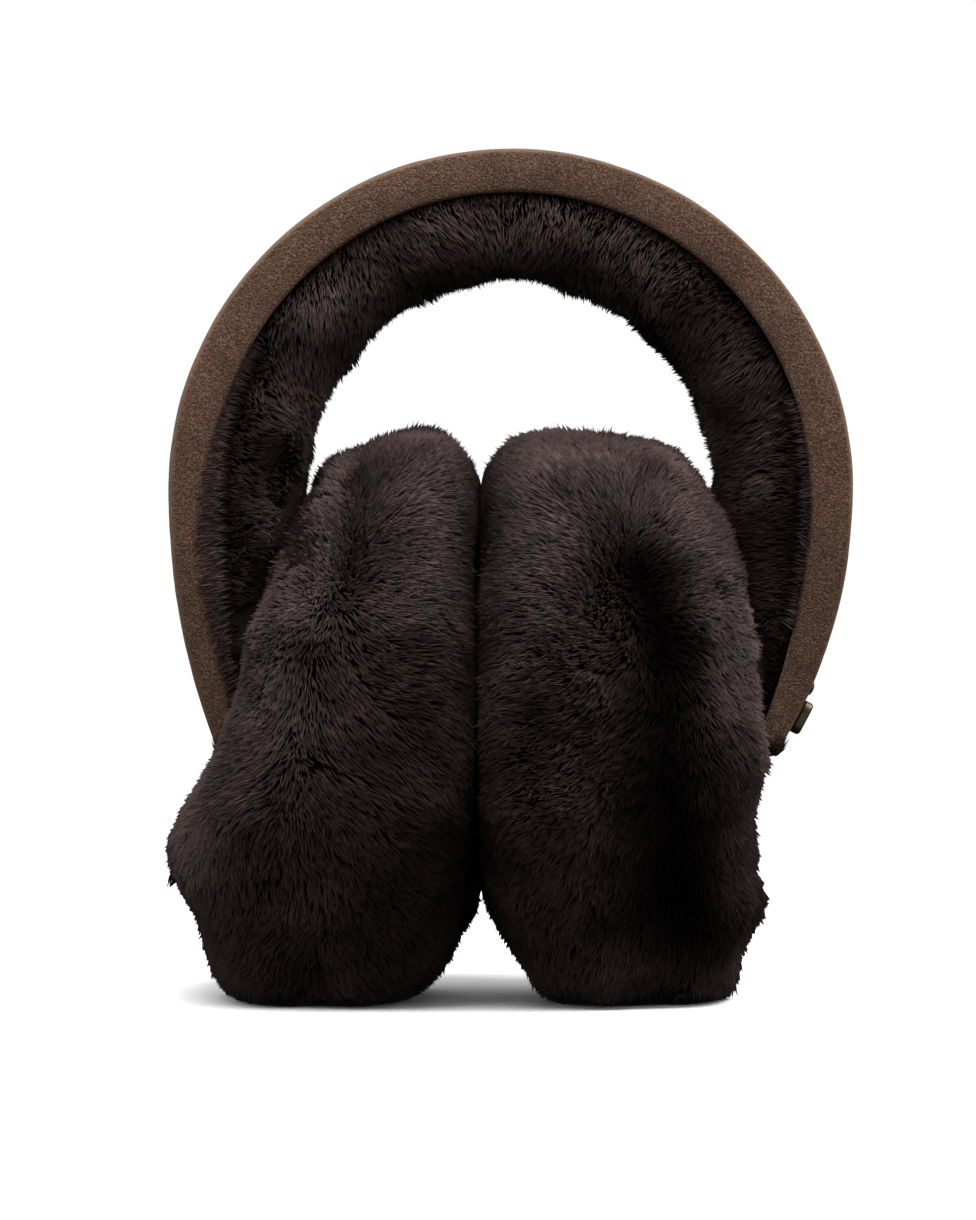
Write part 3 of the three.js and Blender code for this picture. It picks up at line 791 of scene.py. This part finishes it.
def make_body(name, nodes, material):
    """The body of wool under the strands, dark with painted shade, set in from the fur's outer form."""
    mesh = softened(nodes, BODY_VOXEL, BODY_ROUNDS)
    carve_valley(mesh, nodes)
    fill_out(mesh)
    points = vertices_of(mesh)
    near = [node for node in others(nodes) if nodes != [LINING] or node != COVER]
    room = distances(tree_of(near), points, 2 * BODY_INSET)
    inset = BODY_INSET * smoothstep(room / BODY_INSET - INSET_FROM)
    inset *= smoothstep(points[:, 2] / (2 * BODY_INSET))
    points -= inset[:, None] * normals_of(mesh)
    points += BODY_LUMPS * vector_noise(points, BODY_LUMP_SIZE, 2)
    points[:, 2] = np.maximum(points[:, 2], FLOOR_CLEAR)
    mesh.vertices.foreach_set("co", points.ravel())
    mesh.shade_smooth()
    mesh.update()
    body = add_object(f"{name}_body", mesh)
    finish_piece(body, material, nodes)


def even_normals(mesh):
    """A mesh's normals, each drawn toward those round it, so that small folds don't turn the fur."""
    normals = normals_of(mesh)
    ends = np.empty(2 * len(mesh.edges), int)
    mesh.edges.foreach_get("vertices", ends)
    first, second = ends.reshape(-1, 2).T
    for _ in range(NORMAL_ROUNDS):
        total = normals.copy()
        np.add.at(total, first, normals[second])
        np.add.at(total, second, normals[first])
        normals = unit(total)
    return normals


def scatter(mesh, count, rng):
    """Points spread evenly over a mesh, with their normals."""
    points = vertices_of(mesh)
    normals = even_normals(mesh)
    faces = triangles_of(mesh)
    a, b, c = (points[faces[:, i]] for i in range(3))
    area = np.linalg.norm(np.cross(b - a, c - a), axis=1) / 2
    chosen = rng.choice(len(faces), count, p=area / area.sum())
    u = np.sqrt(rng.random(count))
    v = rng.random(count)
    weights = np.stack([1 - u, u * (1 - v), u * v], axis=1)
    corners = faces[chosen]
    place = (points[corners] * weights[:, :, None]).sum(axis=1)
    normal = unit((normals[corners] * weights[:, :, None]).sum(axis=1))
    return place, normal


def open_places(nodes, places, normals):
    """Which places have room for their fur: nothing close in front of them, and not under the cup."""
    tree = tree_of(others(nodes))
    suede = tree_of([COVER])
    free = ~((places[:, 2] < UNDERSIDE_HEIGHT) & (normals[:, 2] < UNDERSIDE_SLOPE))
    for i in np.flatnonzero(free):
        origin = Vector(places[i] - RAY_START * normals[i])
        ahead = Vector(normals[i])
        if tree.ray_cast(origin, ahead, NEAR_HIDDEN)[0] or suede.ray_cast(origin, ahead, UNDER_SUEDE)[0]:
            free[i] = False
    return free


def clear_of_suede(roots, tips, normals):
    """Which strands don't pass through the suede of the band."""
    suede = bpy.data.objects["headband_suede"].data
    tree = BVHTree.FromPolygons(vertices_of(suede).tolist(), triangles_of(suede).tolist())
    clear = np.ones(len(roots), bool)
    for i, (root, end) in enumerate(zip(roots, tips + TIP_CLEAR * normals)):
        along = Vector(end - root)
        clear[i] = tree.ray_cast(Vector(root), along, along.length)[0] is None
    return clear


def comb_cup(nodes, places, from_seam):
    """The lie of a cup's fur: away from the seam to both sides, up at the top and down below."""
    sign = SIDES[side_of(nodes[0])]
    low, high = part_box(nodes[0])
    height = (places[:, 2] - (low.z + high.z) / 2) / (high.z - low.z) * 2
    depth = places[:, 1] / (high.y - low.y) * 2
    outward = sign * np.clip(from_seam / PARTING_WIDTH, -1, 1)
    return unit(np.stack([outward, CUP_SPLAY * depth, CUP_RISE * height - CUP_FALL], axis=1))


def comb_lining(places):
    """The lie of the lining's fur: inward from the suede, and away from the middle of the band."""
    inward = -places * (1, 0, 1)
    inward[:, 2] += BAND_CENTRE
    width = COVER_HIGH.y - COVER_LOW.y
    comb = unit(inward) * LINING_IN
    comb[:, 1] = LINING_SPLAY * places[:, 1] / (width / 2)
    comb[:, 2] -= LINING_FALL
    return LINING_LEAN * unit(comb)


def nearest(centres, points):
    """Index of the nearest centre to each point."""
    tree = KDTree(len(centres))
    for i, centre in enumerate(centres):
        tree.insert(centre, i)
    tree.balance()
    return np.array([tree.find(p)[1] for p in points])


def gather(places, values, spacing, strength, area, rng):
    """Draws each value toward that of its tuft's middle. Each tuft also has three random numbers."""
    count = int(np.clip(area / spacing**2, 8, len(places)))
    chosen = rng.choice(len(places), count, replace=False)
    middle = nearest(places[chosen], places)
    own = rng.uniform(-1, 1, (count, 3))[middle]
    return values + strength * (values[chosen[middle]] - values), own


def surface_area(mesh):
    return sum(face.area for face in mesh.polygons)


def cup_shade(nodes, places, far):
    """How much of its colour a cup's wool keeps under painted shade: in its valley, by the other cup and
    low down. far is the distance from the seam.
    """
    shade = 1 - VALLEYS[nodes[0]]["dark"] * valley_share(nodes, places, far)
    other_cup = [node for pair in CUPS.values() for node in pair if node not in nodes]
    apart = distances(tree_of(other_cup), places, LOWER)
    # Painted shade where the cups close on each other.
    shade *= 1 - CREVICE_PAINTED_SHADE * smoothstep(1 - apart / CREVICE)
    height = places[:, 2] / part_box(nodes[0])[1].z
    # Painted shade in the lower half, near the other cup.
    lower = smoothstep((LOWER_TOP - height) / LOWER_EASE) * smoothstep(LOWER_FULL * (1 - apart / LOWER))
    return shade * (1 - LOWER_PAINTED_SHADE[nodes[0]] * lower)


def lining_shade(places):
    """The same for the wool of the lining: painted shade lower down and painted light toward the crown."""
    height = (places[:, 2] - BAND_CENTRE) / (COVER_HIGH.z - BAND_CENTRE)
    return LINING_SHADE + CROWN_PAINTED_LIGHT * smoothstep((height - BRIGHT_FROM) / BRIGHT_EASE)


def strand_lines(nodes, settings, count, rng):
    """Each strand's root and tip, the skin's normal there, its painted shade and light, and whether it is
    on the cover.
    """
    mesh = softened(nodes, SKIN_VOXEL, SKIN_ROUNDS)
    carve_valley(mesh, nodes)
    fill_out(mesh)
    tried = TRIES * count
    places, normals = scatter(mesh, tried, rng)
    area_each = surface_area(mesh) / tried
    bpy.data.meshes.remove(mesh)
    free = open_places(nodes, places, normals)
    area = area_each * free.sum()
    places, normals = places[free][:count], normals[free][:count]

    if nodes == [LINING]:
        on_cover = np.zeros(len(places), bool)
        lay = comb_lining(places)
        shade = lining_shade(places)
    else:
        to_pad, to_cover = (distances(tree_of([node]), places, 1.0) for node in nodes)
        on_cover = to_cover < to_pad
        far = np.maximum(to_pad, to_cover)
        lay = comb_cup(nodes, places, np.where(on_cover, far, -far))
        shade = cup_shade(nodes, places, far)
    lay += SWIRL * vector_noise(places, settings.swell, 1)
    lay += SMALL_SWIRL * vector_noise(places, settings.swell / 3, 4)
    lay -= normals * (lay * normals).sum(axis=1, keepdims=True)
    lay /= np.maximum(1, np.linalg.norm(lay, axis=1, keepdims=True))

    stray = rng.exponential(settings.unevenness, (len(places), 1))
    stray = np.minimum(stray, MOST_STRAY * settings.unevenness)
    tips = places + normals * (stray - settings.unevenness)
    tips, lock_own = gather(places, tips, settings.lock_spacing, LOCKS["gather"], area, rng)
    tips += normals * (LOCKS["rise"] * lock_own[:, :1])
    tips, tuft_own = gather(places, tips, settings.tuft_spacing, TUFT_LIE["gather"], area, rng)
    tips += normals * (TUFT_LIE["rise"] * tuft_own[:, :1])

    lean = settings.reach * (1 + LOCKS["lean"] * lock_own[:, 1:2] + TUFT_LIE["lean"] * tuft_own[:, 1:2])
    lay = lay + LOCKS["turn"] * lock_own + TUFT_LIE["turn"] * tuft_own
    lay += STRAND_TURN * rng.normal(size=lay.shape)
    tips += ROOT_LEAD * lay * lean
    roots = places - normals * settings.depth - (1 - ROOT_LEAD) * lay * lean
    roots += ROOT_SCATTER * rng.normal(size=roots.shape)
    tips = lengthen_tufts(places, tips, unit(tips - roots), area, rng)
    clear = clear_of_suede(roots, tips, normals)
    return [values[clear] for values in (roots, tips, normals, shade, on_cover)]


def lengthen_tufts(places, tips, ahead, area, rng):
    """Draws out the tips round each of the longer tufts, gathered in small points."""
    for tuft in TUFTS:
        far = np.linalg.norm(places - tuft["place"], axis=1, keepdims=True)
        share = np.exp(-((far / tuft["round"]) ** 2))
        if share.max() < TUFT_EDGE:
            continue
        drawn, own = gather(places, tips, TUFT_GRAIN, TUFT_GATHER * share, area, rng)
        tips = drawn + ahead * tuft["length"] * share * (TUFT_EVEN + (1 - TUFT_EVEN) * own[:, :1])
    return tips


def fringe_lines(band, rng):
    """Strands that grow beside the inner edge of the suede and spill over it, front and back."""
    lines = []
    for fringe in FRINGES:
        near = []
        for point, out, drop in band_stations():
            away = (point[2] - fringe["middle"]) / fringe["spread"]
            if point[0] * SIDES[fringe["side"]] > 0 and abs(away) < FRINGE_REACH:
                near.append((point, out, drop, fringe["over"] * math.exp(-(away**2))))
        for chosen in rng.integers(0, len(near), fringe["strands"]):
            point, out, drop, over = near[chosen]
            width, rim, _ = band_sizes(band, drop)
            front = rng.choice((-1, 1))
            along = np.cross(out, (0, 1, 0))
            slide = along * rng.normal(0, FRINGE_SLIDE)
            root = point + slide - out * (rim + rng.uniform(*FRINGE_ROOTS) * MM)
            tip = point + slide - out * (rim - over * rng.random() ** FRINGE_THIN)
            tip += along * rng.normal(0, FRINGE_FAN)
            root[1] = front * (width / 2 - FRINGE_INSET)
            tip[1] = front * (width / 2 + rng.uniform(*FRINGE_OUT) * MM)
            lines.append((root, tip, (0, front, 0)))
    return strands_of(lines, rng.uniform(*FRINGE_SHADES, len(lines)), False)


def cuff_lines(band, side, rng):
    """Strands of a cup that close softly round the end of the band."""
    ends = [place for place in band_stations() if place[0][0] * SIDES[side] > 0]
    point, out, drop = min(ends, key=lambda place: place[0][2])
    width, rim, _ = band_sizes(band, drop)
    up = np.cross(out, (0, 1, 0))
    up *= math.copysign(1, up[2])
    lines = []
    for _ in range(CUFF_STRANDS):
        front = rng.choice(CUFF_FACES)
        face = out if front == 0 else np.array((0, front, 0.0))
        across = rng.uniform(-1, 1) * width / 2 if front == 0 else front * width / 2
        inward = 0 if front == 0 else rng.uniform(0, rim)
        place = point - out * inward + (0, across, 0)
        if front == 0:
            back, down = WEDGE_ROOTS
            tip = place - rng.random() * (up * CUFF_DROP + out * rim) + up * rng.uniform(*WEDGE_TIPS) * MM
            root = tip - out * rng.uniform(*back) * MM - up * rng.uniform(*down) * MM
        else:
            back, down = CUFF_ROOTS
            tip = place + face * rng.uniform(*CUFF_TIPS) * MM + up * CUFF_REACH * rng.random() ** 2
            root = place - face * rng.uniform(*back) * MM - up * rng.uniform(*down) * MM
        tip += rng.normal(0, CUFF_SCATTER, 3)
        lines.append((root, tip, face))
    return strands_of(lines, rng.uniform(*CUFF_SHADES, len(lines)), True)


def strands_of(lines, shade, on_cover):
    """Roots, tips, normals, shades and whether on a cover, of strands listed one by one."""
    roots, tips, normals = (np.array([line[i] for line in lines], float) for i in range(3))
    return roots, tips, normals, shade, np.full(len(roots), on_cover)


def blade_mesh(name, roots, tips, normals, shade, width, rng):
    """Every strand as one slim closed blade of four faces: a root, two points at its bend and a tip."""
    count = len(roots)
    along = tips - roots
    sideways = unit(np.cross(along, normals))
    up = unit(np.cross(sideways, along))
    length = np.linalg.norm(along, axis=1, keepdims=True)
    bend = BEND * length * rng.uniform(*BEND_VARIETY, (count, 1))
    middle = roots + along * rng.uniform(*BEND_PLACE, (count, 1)) + up * bend
    half = sideways * (width / 2) * rng.uniform(*WIDTH_VARIETY, (count, 1))
    points = np.stack([roots, middle - half, middle + half, tips], axis=1)
    lowest = FLOOR_CLEAR + FLOOR_SCATTER * rng.random((count, 4))
    points[:, :, 2] = np.maximum(points[:, :, 2], lowest)

    first = 4 * np.arange(count)[:, None, None]
    faces = (first + np.array(BLADE_FACES)).reshape(-1, 3)
    mesh = bpy.data.meshes.new(name)
    mesh.vertices.add(4 * count)
    mesh.vertices.foreach_set("co", points.ravel())
    mesh.loops.add(faces.size)
    mesh.loops.foreach_set("vertex_index", faces.ravel())
    mesh.polygons.add(len(faces))
    mesh.polygons.foreach_set("loop_start", np.arange(0, faces.size, 3))
    mesh.update(calc_edges=True)

    share = mesh.attributes.new("along", "FLOAT", "POINT")
    share.data.foreach_set("value", np.tile(BLADE_ALONG, count))
    # Each strand's shade: painted shade and light, and random tone.
    mesh.attributes.new("shade", "FLOAT", "POINT").data.foreach_set("value", np.repeat(shade, 4))
    add_bake_map(mesh, count)
    mesh.shade_smooth()
    tangent = unit(along)
    facing = unit(normals - tangent * (normals * tangent).sum(axis=1, keepdims=True))
    soft = unit(SKIN_LOOK * normals + (1 - SKIN_LOOK) * facing)
    shown = np.stack([normals, soft - ROUNDNESS * sideways, soft + ROUNDNESS * sideways, soft], axis=1)
    mesh.normals_split_custom_set_from_vertices(unit(shown.reshape(-1, 3)))
    return mesh


def add_bake_map(mesh, count):
    """A map with a square cell for each strand, cut in four triangles for its four faces."""
    across = math.ceil(math.sqrt(count))
    margin = 0.06
    corners = [(0, 0), (1, 0), (1, 1), (0, 1)]
    cell = []
    for face in range(4):
        cell += [corners[face], corners[(face + 1) % 4], (0.5, 0.5)]
    cell = margin + (1 - 2 * margin) * np.array(cell)
    index = np.arange(count)
    start = np.stack([index % across, index // across], axis=1)
    places = (start[:, None, :] + cell[None]) / across
    layer = mesh.uv_layers.new(name="OFBake")
    layer.data.foreach_set("uv", places.ravel())


def make_fur(name, nodes, settings, pile, underfur, rng):
    """The fur of some nodes that touch: one body of wool, and a pile of strands for each node."""
    make_body(name, nodes, underfur)
    count = sum(STRAND_COUNTS[node] for node in nodes)
    band = bpy.context.scene.earmuffs_headband
    extra = fringe_lines(band, rng) if nodes == [LINING] else cuff_lines(band, side_of(name), rng)
    joined_lines = zip(strand_lines(nodes, settings, count, rng), extra)
    *lines, on_cover = (np.concatenate(pair) for pair in joined_lines)
    for node, own in zip(nodes, (~on_cover, on_cover)):
        values = [line[own] for line in lines]
        mesh = blade_mesh(f"{node}_pile", *values, settings.strand_width, rng)
        finish_piece(add_object(f"{node}_pile", mesh), pile)


# The stage.


def make_floor(settings):
    mesh = bpy.data.meshes.new("floor")
    corners = [(x * FLOOR_HALF, y * FLOOR_HALF, 0) for x, y in ((-1, -1), (1, -1), (1, 1), (-1, 1))]
    mesh.from_pydata(corners, [], [(0, 1, 2, 3)])
    material, _, shader = new_material("Pale floor", 0.8)
    shader.inputs["Base Color"].default_value = (*settings.floor_colour, 1)
    mesh.materials.append(material)
    floor = add_object("floor", mesh)
    floor.visible_diffuse = False
    floor.visible_glossy = False


def make_lights(settings):
    scene = bpy.context.scene
    world = bpy.data.worlds.new("Studio")
    world.use_nodes = True
    tree = world.node_tree
    background = tree.nodes["Background"]
    place = tree.nodes.new("ShaderNodeTexCoord")
    split = tree.nodes.new("ShaderNodeSeparateXYZ")
    tree.links.new(place.outputs["Generated"], split.inputs["Vector"])
    dim = (settings.ground_light,) * 3
    rise = add_range(tree, split.outputs["Z"], *HORIZON, 0, 1)
    colour = add_ramp(tree, rise, [(0, dim), (1, (1, 1, 1))])
    tree.links.new(colour, background.inputs["Color"])
    background.inputs["Strength"].default_value = settings.room_light
    scene.world = world
    scene.view_settings.view_transform = "Standard"

    light = bpy.data.lights.new("Key", "AREA")
    light.shape = "RECTANGLE"
    light.size, light.size_y = KEY_SIZE
    light.energy = settings.key_power
    key = bpy.data.objects.new("Key", light)
    key.location = KEY_PLACE
    aim = Vector(KEY_AIM) - key.location
    key.rotation_euler = aim.to_track_quat("-Z", "Y").to_euler()
    scene.collection.objects.link(key)


def make_camera(settings):
    turn = settings.turn
    rise = settings.height_angle
    aim = Vector(settings.aim)
    back = Vector((-math.sin(turn) * math.cos(rise), -math.cos(turn) * math.cos(rise), math.sin(rise)))
    data = bpy.data.cameras.new("Camera")
    data.sensor_width = SENSOR_WIDTH
    data.lens = settings.lens
    data.clip_start = 0.05
    camera = bpy.data.objects.new("Camera", data)
    camera.location = aim + back * settings.distance
    camera.rotation_euler = (-back).to_track_quat("-Z", "Y").to_euler()
    bpy.context.scene.collection.objects.link(camera)
    bpy.context.scene.camera = camera


# The operators.


class EARMUFFS_OT_headband_cover(bpy.types.Operator):
    """Makes the suede headband in place of its plain solid"""

    bl_idname = "earmuffs.headband_cover"
    bl_label = "Suede headband"

    def execute(self, context):
        settings = context.scene.earmuffs_headband
        mesh = sweep_band(settings)
        face_outward(mesh)
        finish_piece(add_object("headband_suede", mesh), make_suede(settings), [COVER])
        return {"FINISHED"}


class EARMUFFS_OT_fur(bpy.types.Operator):
    """Makes the fur of the lining, the ear pads and the cup covers"""

    bl_idname = "earmuffs.fur"
    bl_label = "Sheepskin"

    def execute(self, context):
        settings = context.scene.earmuffs_fur
        pile = make_pile(settings)
        underfur = make_underfur(settings)
        rng = np.random.default_rng(SEED)
        make_fur(LINING, [LINING], settings, pile, underfur, rng)
        for side, nodes in CUPS.items():
            make_fur(f"ear_cup_{side}", nodes, settings, pile, underfur, rng)
        return {"FINISHED"}


class EARMUFFS_OT_trim(bpy.types.Operator):
    """Finishes the plate and the rivet in dark antique metal"""

    bl_idname = "earmuffs.trim"
    bl_label = "Metal trim"

    def execute(self, context):
        metal = make_metal(context.scene.earmuffs_trim)
        for name in TRIM:
            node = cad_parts[name]
            node.data.materials.clear()
            node.data.materials.append(metal)
        return {"FINISHED"}


class EARMUFFS_OT_stage(bpy.types.Operator):
    """Makes the pale floor, the soft light and the camera"""

    bl_idname = "earmuffs.stage"
    bl_label = "Stage"

    def execute(self, context):
        settings = context.scene.earmuffs_stage
        make_floor(settings)
        make_lights(settings)
        make_camera(settings)
        return {"FINISHED"}


class EARMUFFS_PT_panel(bpy.types.Panel):
    """Lists the pieces of the earmuffs and their settings"""

    bl_idname = "EARMUFFS_PT_panel"
    bl_label = "Fur earmuffs"
    bl_space_type = "VIEW_3D"
    bl_region_type = "UI"
    bl_category = "Earmuffs"

    def draw(self, context):
        for operator, settings in PANEL_ROWS:
            box = self.layout.box()
            box.operator(operator)
            group = getattr(context.scene, settings)
            for name in group.bl_rna.properties.keys():
                if name not in ("name", "rna_type"):
                    box.prop(group, name)


PANEL_ROWS = (
    ("earmuffs.headband_cover", "earmuffs_headband"),
    ("earmuffs.fur", "earmuffs_fur"),
    ("earmuffs.trim", "earmuffs_trim"),
    ("earmuffs.stage", "earmuffs_stage"),
)
SETTINGS = {
    "earmuffs_headband": HeadbandSettings,
    "earmuffs_fur": FurSettings,
    "earmuffs_trim": TrimSettings,
    "earmuffs_stage": StageSettings,
}
OPERATORS = (
    EARMUFFS_OT_headband_cover,
    EARMUFFS_OT_fur,
    EARMUFFS_OT_trim,
    EARMUFFS_OT_stage,
    EARMUFFS_PT_panel,
)


def register():
    for name, group in SETTINGS.items():
        bpy.utils.register_class(group)
        setattr(bpy.types.Scene, name, bpy.props.PointerProperty(type=group))
    for operator in OPERATORS:
        bpy.utils.register_class(operator)


def unregister():
    for operator in reversed(OPERATORS):
        bpy.utils.unregister_class(operator)
    for name, group in SETTINGS.items():
        delattr(bpy.types.Scene, name)
        bpy.utils.unregister_class(group)


def main():
    register()
    bpy.ops.earmuffs.stage()
    bpy.ops.earmuffs.headband_cover()
    bpy.ops.earmuffs.fur()
    bpy.ops.earmuffs.trim()


if __name__ == "__main__":
    main()
